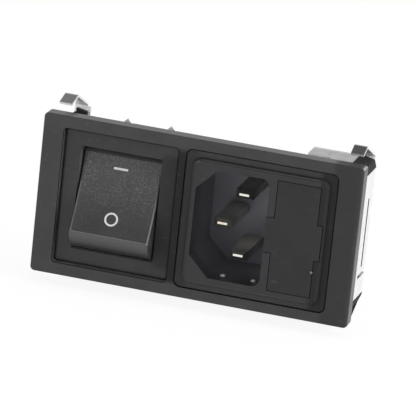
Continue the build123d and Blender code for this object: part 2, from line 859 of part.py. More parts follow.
def make_fuse(prefix, y):
    """Glass cartridge fuse standing upright in the drawer: tube, two caps and wire."""
    with BuildPart() as glass:
        with BuildSketch(Plane.XY.offset(-fuse_length / 2 + fuse_cap_wall)):
            with Locations((drawer_x, y)):
                Circle(fuse_glass_r)
                Circle(fuse_bore_r, mode=Mode.SUBTRACT)
        extrude(amount=fuse_length - 2 * fuse_cap_wall)
    save(glass.part, f"{prefix}_glass")
    with BuildPart() as wire:
        with BuildSketch(Plane.XY.offset(-fuse_length / 2 + fuse_cap_wall)):
            with Locations((drawer_x, y)):
                Circle(fuse_wire_r)
        extrude(amount=fuse_length - 2 * fuse_cap_wall)
    save(wire.part, f"{prefix}_wire")
    for end, direction in (("top", 1), ("bottom", -1)):
        with BuildPart() as cap:
            with BuildSketch(Plane.XY.offset(direction * fuse_length / 2)):
                with Locations((drawer_x, y)):
                    Circle(fuse_cap_r)
            extrude(amount=-direction * fuse_cap_length)
            with BuildSketch(Plane.XY.offset(direction * (fuse_length / 2 - fuse_cap_wall))):
                with Locations((drawer_x, y)):
                    Circle(fuse_cap_r - fuse_cap_wall)
            extrude(amount=-direction * fuse_cap_length, mode=Mode.SUBTRACT)
            outer = cap.edges().sort_by(Axis.Z)[-1 if direction > 0 else 0]
            fillet(outer, fuse_cap_wall)
        save(cap.part, f"{prefix}_cap_{end}")


make_fuse("fuse", fuse_y)
make_fuse("spare_fuse", spare_y)


def make_bracket(name, side, web_width, top_tip, has_flanges):
    """End bracket folded from one sheet: side wall, back web, two leaf springs and any flanges."""
    outward = Side.RIGHT if side > 0 else Side.LEFT
    wall = post_outer - sheet
    reach = skirt_half_width - web_width
    flange_end = skirt_half_width - flange_inset
    flange_step = flange_end - flange_near_width
    with BuildPart() as bracket:
        with BuildSketch(Plane.XY.offset(-bracket_low)):
            with BuildLine():
                FilletPolyline(
                    (side * wall, bracket_front),
                    (side * wall, post_depth),
                    (side * (skirt_half_width - side_web_width), post_depth),
                    radius=bracket_bend,
                )
                offset(amount=sheet, side=outward)
            make_face()
        extrude(amount=bracket_low + bracket_top)
        web_low = bracket_top - sheet
        web_high = leaf_root_z - sheet
        with BuildSketch(at_depth(post_depth + sheet)):
            for level in (-1, 1):
                with Locations((side * (reach + leaf_outer) / 2, level * (web_low + web_high) / 2)):
                    Rectangle(leaf_outer - reach, web_high - web_low)
        extrude(amount=sheet)
        for level in (-1, 1):
            up = Side.RIGHT if level > 0 else Side.LEFT
            tip_forward, tip_drop = top_tip if level > 0 else (leaf_tip_forward, leaf_tip_drop)
            with BuildSketch(across(side * leaf_inner)):
                with BuildLine():
                    FilletPolyline(
                        (post_depth, level * web_low),
                        (post_depth, level * leaf_root_z),
                        (leaf_peak_y, level * (leaf_peak_z - sheet)),
                        (leaf_peak_y - tip_forward, level * (leaf_peak_z - tip_drop - sheet)),
                        radius=[bracket_bend, leaf_bend],
                    )
                    offset(amount=sheet, side=up)
                make_face()
            extrude(amount=side * (leaf_outer - leaf_inner))
            flange_runs = (
                (reach, flange_step, flange_front),
                (flange_step, flange_end, flange_near_front),
            )
            for start, end, front in flange_runs if has_flanges else ():
                with BuildSketch(across(side * start)):
                    with BuildLine():
                        FilletPolyline(
                            (post_depth, level * web_low),
                            (post_depth, level * (skirt_half_height + rest_gap)),
                            (front, level * (skirt_half_height + rest_gap)),
                            radius=bracket_bend,
                        )
                        offset(amount=sheet, side=up)
                    make_face()
                extrude(amount=side * (end - start))
        with BuildSketch(across(side * (wall - sheet))):
            with Locations((slit_y, (slit_top + slit_low) / 2)):
                Rectangle(slit_width, slit_top - slit_low)
            with Locations((post_depth + 2 * sheet, slot_z)):
                Rectangle(2 * slot_length, slot_width)
        extrude(amount=side * 3 * sheet, mode=Mode.SUBTRACT)
    save(bracket.part, name)


flat_tip = (flat_tip_forward, flat_tip_drop)
leaf_tip = (leaf_tip_forward, leaf_tip_drop)
make_bracket("end_bracket_left", -1, left_web_width, flat_tip, has_flanges=False)
make_bracket("end_bracket_right", 1, right_web_width, leaf_tip, has_flanges=True)
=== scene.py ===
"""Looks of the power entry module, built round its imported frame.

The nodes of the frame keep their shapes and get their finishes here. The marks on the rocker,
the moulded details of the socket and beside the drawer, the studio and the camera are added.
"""

import json
import logging
from contextlib import contextmanager
from dataclasses import dataclass, field
from enum import Enum
from math import cos, radians, sin, sqrt
from typing import Callable, Iterator, Optional, Union

import bmesh
import bpy
from mathutils import Matrix, Vector

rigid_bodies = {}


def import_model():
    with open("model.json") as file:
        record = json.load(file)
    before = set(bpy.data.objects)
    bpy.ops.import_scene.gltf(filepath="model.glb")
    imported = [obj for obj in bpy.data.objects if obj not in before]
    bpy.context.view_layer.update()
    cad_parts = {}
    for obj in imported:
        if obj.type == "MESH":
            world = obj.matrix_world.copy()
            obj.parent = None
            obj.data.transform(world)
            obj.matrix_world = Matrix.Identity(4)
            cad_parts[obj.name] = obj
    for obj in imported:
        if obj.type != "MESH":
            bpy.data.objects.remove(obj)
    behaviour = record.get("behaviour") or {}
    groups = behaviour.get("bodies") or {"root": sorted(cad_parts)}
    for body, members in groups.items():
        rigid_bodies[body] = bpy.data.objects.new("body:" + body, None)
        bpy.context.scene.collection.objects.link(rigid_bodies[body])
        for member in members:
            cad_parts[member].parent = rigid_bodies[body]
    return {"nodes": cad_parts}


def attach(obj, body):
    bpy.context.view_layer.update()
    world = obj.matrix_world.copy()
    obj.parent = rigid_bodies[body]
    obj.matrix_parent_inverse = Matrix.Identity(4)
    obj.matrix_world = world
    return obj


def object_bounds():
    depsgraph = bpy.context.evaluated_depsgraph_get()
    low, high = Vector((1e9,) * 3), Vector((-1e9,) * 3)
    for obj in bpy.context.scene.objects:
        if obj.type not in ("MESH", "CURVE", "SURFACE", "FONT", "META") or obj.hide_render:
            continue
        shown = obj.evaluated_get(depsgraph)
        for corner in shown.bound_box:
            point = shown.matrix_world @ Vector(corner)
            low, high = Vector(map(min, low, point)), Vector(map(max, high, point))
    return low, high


for leftover in list(bpy.data.objects):
    bpy.data.objects.remove(leftover)
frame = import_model()
cad_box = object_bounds()

MM = 0.001
PHOTO_SIDE = 415
WHITE = (1.0, 1.0, 1.0)
# Soft edge of the box round a recess, in millimetres.
BOX_SOFT = 0.4
# Cosine past which a face or an edge counts as lying along an axis.
ALIGNED = 0.9
# Metres within which a point counts as the origin.
AT_ORIGIN = 1e-6
BEVEL_ANGLE = radians(35)
SMOOTH_ANGLE = radians(40)
log = logging.getLogger("power_entry_module")

Colour = tuple[float, float, float]
Place = tuple[float, float, float]
Spot = tuple[float, float, float, float]
Test = Callable[[Vector, Vector], bool]
Number = Union["Signal", float]


class Body(Enum):
    """Bodies of the frame that the added pieces ride on."""

    MODULE = "module"
    ROCKER = "rocker"


class Signal:
    """A shader socket that takes part in Python expressions."""

    def __init__(self, bench: "Bench", socket: bpy.types.NodeSocket) -> None:
        """Hold the socket and the bench that its node stands on."""
        self.bench = bench
        self.socket = socket

    def __add__(self, other: Number) -> "Signal":
        """Sum of two values."""
        return self.bench.maths("ADD", self, other)

    __radd__ = __add__

    def __sub__(self, other: Number) -> "Signal":
        """Difference of two values."""
        return self.bench.maths("SUBTRACT", self, other)

    def __rsub__(self, other: Number) -> "Signal":
        """Difference of two values, with this one taken off."""
        return self.bench.maths("SUBTRACT", other, self)

    def __mul__(self, other: Number) -> "Signal":
        """Product of two values."""
        return self.bench.maths("MULTIPLY", self, other)

    __rmul__ = __mul__


class Bench:
    """Node tree of one material or world, with one method for each node that is wanted."""

    def __init__(self, owner: Union[bpy.types.Material, bpy.types.World]) -> None:
        """Clear the owner's tree and make it ready.

        Args:
            owner: Material or world whose nodes are laid out.
        """
        owner.use_nodes = True
        self.owner = owner
        self.tree = owner.node_tree
        self.tree.nodes.clear()

    def node(
        self,
        kind: str,
        settings: Optional[dict] = None,
        sockets: Optional[dict] = None,
        out: Union[int, str] = 0,
    ) -> Signal:
        """Add a node.

        Args:
            kind: Type of the node.
            settings: Properties that are set first; "stops" holds a ramp's places and colours.
            sockets: Values or signals of its inputs, by name or number.
            out: Name or number of the output that is handed back.

        Returns:
            The chosen output.
        """
        made = self.tree.nodes.new(kind)
        for name, value in (settings or {}).items():
            if name == "stops":
                ramp = made.color_ramp
                while len(ramp.elements) < len(value):
                    ramp.elements.new(0.5)
                for element, (place, colour) in zip(ramp.elements, value):
                    element.position = place
                    element.color = (*colour, 1.0)
            else:
                setattr(made, name, value)
        for name, value in (sockets or {}).items():
            socket = made.inputs[name]
            if isinstance(value, Signal):
                self.tree.links.new(value.socket, socket)
            else:
                socket.default_value = value
        return Signal(self, made.outputs[out] if made.outputs else None)

    def maths(self, operation: str, first: Number, second: Number) -> Signal:
        """Math node on two values."""
        return self.node("ShaderNodeMath", {"operation": operation}, {0: first, 1: second})

    def object_place(self, stretch: Place = (1.0, 1.0, 1.0)) -> Signal:
        """Object coordinates, scaled along the axes."""
        place = self.node("ShaderNodeTexCoord", out="Object")
        return self.node("ShaderNodeMapping", None, {"Vector": place, "Scale": stretch})

    def part_of(self, source: str, axis: str) -> Signal:
        """One axis of a texture coordinate, such as the height or the way a face looks."""
        whole = self.node("ShaderNodeTexCoord", out=source)
        return self.node("ShaderNodeSeparateXYZ", None, {0: whole}, out=axis)

    def size_of(self, value: Number) -> Signal:
        """A value without its sign."""
        return self.maths("ABSOLUTE", value, 0.0)

    def noise(self, place: Signal, size_mm: float, detail: float = 3.0) -> Signal:
        """Noise whose largest features are about this many millimetres across."""
        return self.node(
            "ShaderNodeTexNoise",
            {"noise_dimensions": "3D"},
            {"Vector": place, "Scale": 1.0 / (size_mm * MM), "Detail": detail, "Roughness": 0.55},
        )

    def cells(self, place: Signal, size_mm: float) -> Signal:
        """Distance to the nearest of points that lie about this far apart."""
        return self.node(
            "ShaderNodeTexVoronoi",
            {"feature": "F1"},
            {"Vector": place, "Scale": 1.0 / (size_mm * MM)},
            out="Distance",
        )

    def ramp(self, value: Number, low: float, high: float) -> Signal:
        """Smooth step from nought to one between two values."""
        return self.node(
            "ShaderNodeMapRange",
            {"interpolation_type": "SMOOTHSTEP"},
            {"Value": value, "From Min": low, "From Max": high},
        )

    def inside(self, middle_x: float, half_x: float, half_z: float, soft: float = BOX_SOFT) -> Signal:
        """Mask of a box that stands on both sides of the middle height, in millimetres.

        Args:
            middle_x: Middle of the box along X.
            half_x: Half of its width.
            half_z: Half of its height.
            soft: Width of its soft edge, which lies inside it.

        Returns:
            One inside the box and nought outside it.
        """
        aside = self.size_of(self.part_of("Object", "X") - middle_x * MM)
        above = self.size_of(self.part_of("Object", "Z"))
        across = self.ramp(aside, half_x * MM, (half_x - soft) * MM)
        return across * self.ramp(above, half_z * MM, (half_z - soft) * MM)

    def blend(self, share: Number, first: Union[Signal, Colour], second: Union[Signal, Colour]) -> Signal:
        """Mix of two colours."""
        ends = [end if isinstance(end, Signal) else (*end, 1.0) for end in (first, second)]
        return self.node(
            "ShaderNodeMix", {"data_type": "RGBA"}, {0: share, 6: ends[0], 7: ends[1]}, out=2
        )

    def bump(self, height: Signal, depth_mm: float, strength: float = 1.0) -> Signal:
        """Bump of this height, for a Normal socket."""
        return self.node(
            "ShaderNodeBump", None, {"Height": height, "Distance": depth_mm * MM, "Strength": strength}
        )

    def surface(self, sockets: dict) -> None:
        """Principled shader with these sockets, joined to the output."""
        shader = self.node("ShaderNodeBsdfPrincipled", None, sockets)
        self.node("ShaderNodeOutputMaterial", None, {"Surface": shader})


@dataclass(frozen=True)
class Finish:
    """A finish of the module: its name and its base colour.

    Shares are of the base colour, sizes are in millimetres, and places along an axis are in the
    module's own axes.
    """

    name: str
    colour: Colour

    def material(self) -> bpy.types.Material:
        """Make the finish's material once, and then share it.

        Returns:
            The material.
        """
        title = f"{self.name} finish"
        found = bpy.data.materials.get(title)
        if found is None:
            found = bpy.data.materials.new(title)
            self.lay_out(Bench(found))
        return found

    def lay_out(self, bench: Bench) -> None:
        """Lay the finish's nodes out on a bench."""
        raise NotImplementedError

    def shade(self, share: float) -> Colour:
        """The base colour times a share."""
        return tuple(min(1.0, channel * share) for channel in self.colour)


@dataclass(frozen=True)
class MouldedPlastic(Finish):
    """Black moulding with a spark-eroded grain and faint clouds in its tone.

    Painted light pales the shaded walls of a recess within a box: its middle and half width
    along X, its half height, and its back. Painted shade spots, where a cast shadow or a darker
    end is painted into the tone, have the same first three sizes and then the share of the tone
    that is left, and are rougher.
    """

    roughness: float = 0.5
    grain_mm: float = 0.22
    grain_depth_mm: float = 0.012
    grain_roughening: float = 0.16
    specular: float = 0.4
    cloud_mm: float = 9.0
    cloud_shares: tuple[float, float] = (0.88, 1.12)
    scuff_mm: float = 0.9
    scuff_stretch: Place = (0.35, 1.0, 1.0)
    scuff_colour: Colour = (0.4, 0.4, 0.4)
    scuff_roughening: float = 0.06
    handled: float = 0.05
    side_roughness: float = 0.0
    rim_end_y: float = 0.6
    # Painted light: the shaded walls of a recess are paled towards this colour.
    recess_light_colour: Optional[Colour] = None
    recess_light_start_y: float = -3.6
    recess_light_end_y: float = 1.0
    recess_light_within: Spot = (0.0, 100.0, 100.0, 100.0)
    recess_light_on_sides: float = 1.0
    # Painted shade: spots where a cast shadow or a darker end is painted into the tone.
    painted_shade_spots: tuple[Spot, ...] = ()
    shade_spot_soft: float = 1.8
    dull_rise: float = 0.9
    far_share: float = 1.0
    far_start_y: float = 1.0
    far_end_y: float = 3.0

    def recess(self, bench: Bench, depth: Signal) -> Signal:
        """Mask of the painted light on the recess's walls, where shade falls.

        Args:
            bench: Bench that the finish is laid out on.
            depth: Place along Y.

        Returns:
            One where light is painted on the walls, and less on those that look sideways.
        """
        middle_x, half_x, half_z, back_y = self.recess_light_within
        deep = bench.ramp(depth, self.recess_light_start_y * MM, self.recess_light_end_y * MM)
        deep = deep * bench.ramp(depth, back_y * MM, (back_y - BOX_SOFT) * MM)
        sideways = bench.size_of(bench.part_of("Normal", "X"))
        deep = deep * (1.0 - sideways * (1.0 - self.recess_light_on_sides))
        return deep * bench.inside(middle_x, half_x, half_z)

    def darken_and_roughen(self, bench: Bench, mask: Signal, share: float, tone: Signal) -> tuple[Signal, Signal]:
        """Darken and roughen one place.

        Args:
            bench: Bench that the finish is laid out on.
            mask: One in that place.
            share: Share of the tone that is left there.
            tone: Tone so far.

        Returns:
            The new tone, and what the place adds to the roughness.
        """
        return bench.blend(mask, tone, self.shade(share)), mask * ((1.0 - share) * self.dull_rise)

    def lay_out(self, bench: Bench) -> None:
        """Grain, clouds and fine scuffs, under the painted shade spots, the painted light in the recess,
        and a darker, rougher stretch further back.

        Args:
            bench: Bench that the nodes stand on.
        """
        place = bench.object_place()
        depth = bench.part_of("Object", "Y")
        grain = bench.noise(place, self.grain_mm, detail=4.0)
        clouds = bench.ramp(bench.noise(place, self.cloud_mm, detail=2.0), 0.3, 0.7)
        streaks = bench.noise(bench.object_place(self.scuff_stretch), self.scuff_mm, detail=5.0)
        scuffs = bench.ramp(streaks, 0.6, 0.78)
        dark, pale = (self.shade(share) for share in self.cloud_shares)
        tone = bench.blend(clouds, dark, pale)
        roughening = 0.0
        # Painted shade: the rocker's cast shadow and the darker right end, darkened into the tone.
        for middle_x, half_x, half_z, share in self.painted_shade_spots:
            spot = bench.inside(middle_x, half_x, half_z, self.shade_spot_soft)
            tone, rise = self.darken_and_roughen(bench, spot, share, tone)
            roughening = rise + roughening
        if self.recess_light_colour is not None:
            # Painted light on the shaded walls of the recess.
            tone = bench.blend(self.recess(bench, depth), tone, self.recess_light_colour)
        # Darker and rougher further back along Y.
        if self.far_share < 1.0:
            far = bench.ramp(depth, self.far_start_y * MM, self.far_end_y * MM)
            tone, rise = self.darken_and_roughen(bench, far, self.far_share, tone)
            roughening = rise + roughening
        mottle = (grain - 0.5) * self.grain_roughening + scuffs * self.scuff_roughening
        rough = self.roughness + mottle + roughening
        if self.side_roughness > 0.0:
            facing = bench.size_of(bench.part_of("Normal", "Y"))
            sides = bench.ramp(facing, 0.5, 0.1) * bench.ramp(depth, self.rim_end_y * MM, 0.0)
            rough = rough + sides * (self.side_roughness - self.roughness)
        bench.surface(
            {
                "Base Color": bench.blend(scuffs * self.handled, tone, self.scuff_colour),
                "Roughness": rough,
                "Specular IOR Level": self.specular,
                "Normal": bench.bump(grain, self.grain_depth_mm),
            }
        )


@dataclass(frozen=True)
class GrainedPlastic(Finish):
    """Moulding with the coarse grain of the rocker's finger face, under painted glints, painted light and
    painted highlights.

    The parts of the rocker are told apart by how far their faces look up.
    """

    roughness: float = 0.36
    grain_mm: float = 0.36
    grain_depth_mm: float = 0.06
    cloud_mm: float = 5.0
    cloud_shares: tuple[float, float] = (0.86, 1.15)
    painted_glint_mm: float = 0.4
    painted_glint_share: float = 8.0
    top_half_light_share: float = 1.9
    upper_end_light_share: float = 5.0
    band_start: float = -0.1
    band_light_share: float = 4.2
    band_foot_shade_share: float = 0.9
    edge_highlight_share: float = 6.0
    edge_highlight_strength: float = 0.8
    foot_z: float = -5.8
    foot_soft: float = 0.6

    def painted_edge_highlights(self, bench: Bench, up: Signal) -> Signal:
        """Mask of the rounded edges that carry a painted highlight: the two sides and the foot.

        Args:
            bench: Bench that the finish is laid out on.
            up: How far a face looks up.

        Returns:
            One on those edges.
        """
        sideways = bench.size_of(bench.part_of("Normal", "X"))
        side_edge = bench.ramp(sideways, 0.1, 0.3) * bench.ramp(sideways, 0.97, 0.85)
        height = bench.part_of("Object", "Z")
        near_foot = bench.ramp(height, self.foot_z * MM, (self.foot_z - self.foot_soft) * MM)
        low_edge = bench.ramp(up, 0.5, 0.4) * bench.ramp(up, 0.0, 0.1) * near_foot
        return bench.maths("MAXIMUM", side_edge, low_edge)

    def lay_out(self, bench: Bench) -> None:
        """Rounded cells broken up by noise, so that single grains catch the light.

        Pale spots of noise are painted glints, chiefly on the upper half of the face, which also
        gets painted light. The upper end wall gets painted light in its shade, the lower end wall a
        painted reflection that fades to painted shade at its foot, and the edges painted highlights;
        the edges are also smoother.

        Args:
            bench: Bench that the nodes stand on.
        """
        up = bench.part_of("Normal", "Z")
        top_half = bench.ramp(up, 0.5, 0.24)
        upper_end = bench.ramp(up, 0.6, 0.75)
        band = bench.ramp(up, self.band_start, self.band_start - 0.1)
        band_shade = bench.ramp(up, self.band_start - 0.15, self.band_start - 0.7)
        edge = self.painted_edge_highlights(bench, up)
        place = bench.object_place()
        fine = bench.noise(place, self.grain_mm * 0.5, detail=3.0)
        height = bench.cells(place, self.grain_mm) * 0.7 + fine * 0.6
        clouds = bench.ramp(bench.noise(place, self.cloud_mm, detail=2.0), 0.3, 0.7)
        # Painted glints: pale spots of noise stand in for grains that catch the light.
        painted_glints = bench.ramp(bench.noise(place, self.painted_glint_mm, detail=1.0), 0.52, 0.62)
        patchy = painted_glints * (0.45 + clouds * 0.55)
        dark, pale = (self.shade(share) for share in self.cloud_shares)
        tone = bench.blend(clouds, dark, pale)
        # Painted light on the upper half of the hollow face.
        painted_top_light = bench.blend(top_half * 0.8, tone, self.shade(self.top_half_light_share))
        with_painted_glints = bench.blend(patchy * (0.08 + top_half * 0.42), painted_top_light, self.shade(self.painted_glint_share))
        # Painted reflection on the lower end wall, fading to painted shade at its foot.
        painted_band = bench.blend(band_shade, self.shade(self.band_light_share), self.shade(self.band_foot_shade_share))
        banded = bench.blend(band, with_painted_glints, painted_band)
        # Painted light on the upper end wall, which lies in shade.
        ended = bench.blend(upper_end, banded, self.shade(self.upper_end_light_share))
        bench.surface(
            {
                # Painted highlights on the rounded edges.
                "Base Color": bench.blend(edge * self.edge_highlight_strength, ended, self.shade(self.edge_highlight_share)),
                "Roughness": self.roughness + fine * 0.2 - edge * 0.1,
                "Specular IOR Level": 0.5,
                "Normal": bench.bump(height, self.grain_depth_mm),
            }
        )


@dataclass(frozen=True)
class RolledMetal(Finish):
    """Bare or plated sheet, with rolling lines, faint stains and small handling marks.

    Faces that look up may be darker than the rest, with painted shade, and so may, with painted
    shade too, the side that looks towards +X and the cut edges in the notches of a wall that
    stands far out along X.
    """

    roughness: float = 0.3
    metallic: float = 1.0
    line_mm: float = 0.12
    line_stretch: Place = (1.0, 0.06, 1.0)
    line_depth_mm: float = 0.004
    line_roughening: float = 0.22
    stain: Colour = (0.5, 0.5, 0.5)
    stain_mm: float = 3.5
    stain_share: float = 0.25
    stain_roughening: float = 0.12
    dot_mm: float = 0.5
    dot_share: float = 0.3
    top_shade_share: float = 1.0
    side_shade_share: float = 1.0
    edge_matt: float = 0.0
    notch_x: float = 0.0
    notch_shade_share: float = 0.05

    def lay_out(self, bench: Bench) -> None:
        """Long thin noise along the rolling direction, with stains and dots over it.

        Args:
            bench: Bench that the nodes stand on.
        """
        lines = bench.noise(bench.object_place(self.line_stretch), self.line_mm, detail=3.0)
        place = bench.object_place()
        stains = bench.ramp(bench.noise(place, self.stain_mm, detail=4.0), 0.45, 0.75)
        dots = bench.ramp(bench.noise(place, self.dot_mm, detail=2.0), 0.68, 0.76)
        tone = bench.blend(stains * self.stain_share, self.colour, self.stain)
        facing = bench.part_of("Normal", "Y")
        cut_edge = bench.ramp(facing, -0.9, -0.98)
        # Painted shade on faces that look towards +X.
        if self.side_shade_share < 1.0:
            sideways = bench.ramp(bench.part_of("Normal", "X"), 0.5, 0.9)
            tone = bench.blend(sideways, tone, self.shade(self.side_shade_share))
        # Painted shade on faces that look up.
        if self.top_shade_share < 1.0:
            leans = bench.ramp(facing, -0.1, -0.4)
            painted_top_shade = bench.ramp(bench.part_of("Normal", "Z"), 0.3, 0.7) * (0.55 + leans * 0.45)
            tone = bench.blend(painted_top_shade, tone, self.shade(self.top_shade_share))
        # Painted shade in the cut edges of the notches.
        if self.notch_x > 0.0:
            outward = bench.size_of(bench.part_of("Object", "X"))
            notch = cut_edge * bench.ramp(outward, self.notch_x * MM, (self.notch_x + 0.1) * MM)
            tone = bench.blend(notch, tone, self.shade(self.notch_shade_share))
        mottle = (lines - 0.5) * self.line_roughening + stains * self.stain_roughening
        bench.surface(
            {
                "Base Color": bench.blend(dots * self.dot_share, tone, self.stain),
                "Metallic": self.metallic - dots * 0.15 - cut_edge * self.edge_matt,
                "Roughness": self.roughness + mottle,
                "Normal": bench.bump(lines, self.line_depth_mm),
            }
        )


@dataclass(frozen=True)
class PlatedPin(Finish):
    """Nickel plate that has worn to the brass on the tips, where plugs rub.

    The shank carries painted shade, strongest behind its bevelled tip and weaker further in, and
    so do the bevels; the tab behind the module keeps its full tone.
    """

    brass: Colour = (0.78, 0.6, 0.3)
    roughness: float = 0.38
    metallic: float = 0.35
    # Painted shade on the shank, strongest near the tip, and on the bevels.
    tip_shade_share: float = 0.1
    far_share: float = 0.6
    far_y: float = 8.0
    bevel_shade_share: float = 0.05
    tip_start_y: float = 0.4
    tip_end_y: float = -1.9
    tab_y: float = 12.5
    line_depth_mm: float = 0.003

    def lay_out(self, bench: Bench) -> None:
        """Fine drawing lines along the pin, brass towards its tip, and a bright flat end.

        Args:
            bench: Bench that the nodes stand on.
        """
        depth = bench.part_of("Object", "Y")
        facing = bench.part_of("Normal", "Y")
        tip = bench.ramp(facing, -0.85, -0.97)
        bevel = bench.ramp(facing, -0.2, -0.4)
        tab = bench.ramp(depth, self.tab_y * MM, (self.tab_y + 1.0) * MM)
        nearness = bench.ramp(depth, self.tip_start_y * MM, self.tip_end_y * MM)
        farness = bench.ramp(depth, self.tip_end_y * MM, self.far_y * MM)
        patches = bench.noise(bench.object_place((1.0, 0.3, 1.0)), 0.7, detail=4.0)
        lines = bench.noise(bench.object_place((1.0, 0.04, 1.0)), 0.08, detail=2.0)
        worn = bench.ramp(patches * (0.35 + nearness * 0.65), 0.42, 0.55)
        # Painted shade on the shank, strongest near the tip, and on the bevels.
        shank = bench.blend(farness, self.shade(self.tip_shade_share), self.shade(self.far_share))
        bevelled = bench.blend(bevel, shank, self.shade(self.bevel_shade_share))
        plate = bench.blend(bench.maths("MAXIMUM", tip, tab), bevelled, self.colour)
        bench.surface(
            {
                "Base Color": bench.blend(worn * (0.02 + tip * 0.5), plate, self.brass),
                "Metallic": self.metallic + tip * 0.65 + tab * 0.2,
                "Roughness": self.roughness + (lines - 0.5) * 0.16 - tip * 0.18 + tab * 0.14,
                "Specular IOR Level": 0.15,
                "Normal": bench.bump(lines, self.line_depth_mm),
            }
        )


@dataclass(frozen=True)
class NaturalNylon(Finish):
    """Uncoloured moulding, slightly see-through at its edges."""

    def lay_out(self, bench: Bench) -> None:
        """Milky tone with soft clouds and a smooth grain.

        Args:
            bench: Bench that the nodes stand on.
        """
        place = bench.object_place()
        clouds = bench.noise(place, 1.5, detail=3.0)
        bench.surface(
            {
                "Base Color": bench.blend(clouds, self.shade(0.9), self.shade(1.06)),
                "Roughness": 0.42 + (clouds - 0.5) * 0.1,
                "Subsurface Weight": 0.2,
                "Subsurface Scale": 0.5 * MM,
                "Normal": bench.bump(bench.noise(place, 0.2), 0.004),
            }
        )


@dataclass(frozen=True)
class ClearGlass(Finish):
    """Clear tube of a cartridge fuse."""

    def lay_out(self, bench: Bench) -> None:
        """Clear glass with a faint waviness.

        Args:
            bench: Bench that the nodes stand on.
        """
        waves = bench.noise(bench.object_place(), 1.8, detail=1.0)
        bench.surface(
            {
                "Base Color": bench.blend(waves, self.colour, self.shade(0.97)),
                "Roughness": 0.03 + waves * 0.04,
                "IOR": 1.5,
                "Transmission Weight": 1.0,
                "Normal": bench.bump(waves, 0.004),
            }
        )


@dataclass(frozen=True)
class PolishedPlastic(Finish):
    """Small moulded form that plugs and fingers have rubbed to a polish."""

    def lay_out(self, bench: Bench) -> None:
        """Dark tone with a clear gloss and faint rub lines along the plug's path.

        Args:
            bench: Bench that the nodes stand on.
        """
        lines = bench.noise(bench.object_place((1.0, 0.1, 1.0)), 0.15, detail=2.0)
        bench.surface(
            {
                "Base Color": bench.blend(lines, self.shade(0.8), self.shade(1.3)),
                "Roughness": 0.12 + lines * 0.08,
                "Specular IOR Level": 1.0,
                "Coat Weight": 1.0,
                "Coat Roughness": 0.08,
                "Normal": bench.bump(lines, 0.003),
            }
        )


@dataclass(frozen=True)
class PrintedInk(Finish):
    """Pad-printed mark, slightly chalky and a little thin in places."""

    worn_colour: Colour = (0.3, 0.3, 0.3)

    def lay_out(self, bench: Bench) -> None:
        """White ink with a fine mottle.

        Args:
            bench: Bench that the nodes stand on.
        """
        place = bench.object_place()
        thin = bench.ramp(bench.noise(place, 0.25, detail=3.0), 0.55, 0.75)
        bench.surface(
            {
                "Base Color": bench.blend(thin * 0.35, self.colour, self.worn_colour),
                "Roughness": 0.55 + thin * 0.15,
                "Normal": bench.bump(thin, 0.004),
            }
        )


BEZEL_PLASTIC = MouldedPlastic(
    "bezel plastic",
    (0.028, 0.028, 0.029),
    roughness=0.56,
    grain_mm=0.3,
    side_roughness=0.3,
    # Painted light on the shaded walls of the windows.
    recess_light_colour=(0.13, 0.13, 0.134),
    recess_light_start_y=-2.7,
    recess_light_end_y=-2.2,
    recess_light_within=(0.0, 36.0, 17.7, 2.0),
    far_share=0.5,
    # Painted shade in the rocker's shadow on the divider, and at the darker right end.
    painted_shade_spots=((-4.4, 2.6, 16.2, 0.44), (33.2, 4.0, 30.0, 0.76)),
)
SWITCH_PLASTIC = MouldedPlastic(
    "switch housing plastic",
    (0.0225, 0.0225, 0.024),
    roughness=0.52,
    specular=0.37,
    # Painted light in the shaded gaps round the rocker.
    recess_light_colour=(0.3, 0.3, 0.31),
    recess_light_start_y=-2.05,
    recess_light_end_y=-1.5,
    recess_light_within=(-18.55, 9.9, 12.6, 7.0),
    recess_light_on_sides=0.3,
    # Painted shade where the rocker's shadow falls on the plate.
    painted_shade_spots=((-6.0, 4.2, 14.0, 0.74),),
)
INLET_PLASTIC = MouldedPlastic(
    "inlet plastic",
    (0.0165, 0.0163, 0.018),
    roughness=0.3,
    grain_mm=0.15,
    grain_depth_mm=0.006,
    # Painted light in the shaded socket cavity.
    recess_light_colour=(0.18, 0.174, 0.202),
    recess_light_start_y=-3.0,
    recess_light_end_y=11.0,
    recess_light_within=(7.9, 8.9, 12.9, 13.5),
    # Painted shade on the flange left of the socket, and at the darker right end.
    painted_shade_spots=((-2.6, 2.9, 30.0, 0.6), (30.6, 4.2, 30.0, 0.45)),
)
# Paler than the inlet's black moulding they belong to: a painted glint over the real polish.
NIB_GLINT_PLASTIC = PolishedPlastic("nib plastic with painted glint", (0.25, 0.25, 0.255))
PIP_GLINT_PLASTIC = PolishedPlastic("pip plastic with painted glint", (0.08, 0.08, 0.083))
DRAWER_PLASTIC = MouldedPlastic(
    "drawer plastic",
    (0.0125, 0.0123, 0.0138),
    roughness=0.44,
    grain_mm=0.18,
    grain_depth_mm=0.008,
    specular=0.34,
)
ROCKER_PLASTIC = GrainedPlastic("rocker plastic", (0.016, 0.016, 0.0168))
SPRING_SHEET = RolledMetal(
    "spring sheet",
    (0.92, 0.925, 0.93),
    roughness=0.34,
    stain=(0.6, 0.6, 0.61),
    metallic=0.75,
    # Painted shade on upward faces, on faces towards +X and in the notches.
    top_shade_share=0.16,
    side_shade_share=0.8,
    edge_matt=0.6,
    notch_x=34.85,
)
TINNED_STRIP = RolledMetal(
    "tinned strip", (0.86, 0.85, 0.83), roughness=0.5, stain=(0.5, 0.47, 0.42), metallic=0.6
)
CONTACT_BRASS = RolledMetal("contact brass", (0.8, 0.6, 0.28), roughness=0.28, stain=(0.5, 0.33, 0.14))
SILVER_ALLOY = RolledMetal("silver alloy", (0.88, 0.87, 0.84), roughness=0.24, stain=(0.6, 0.58, 0.52))
NICKEL_CAP = RolledMetal(
    "nickel cap",
    (0.8, 0.78, 0.74),
    roughness=0.2,
    line_stretch=(1.0, 1.0, 0.06),
    stain=(0.6, 0.57, 0.52),
)
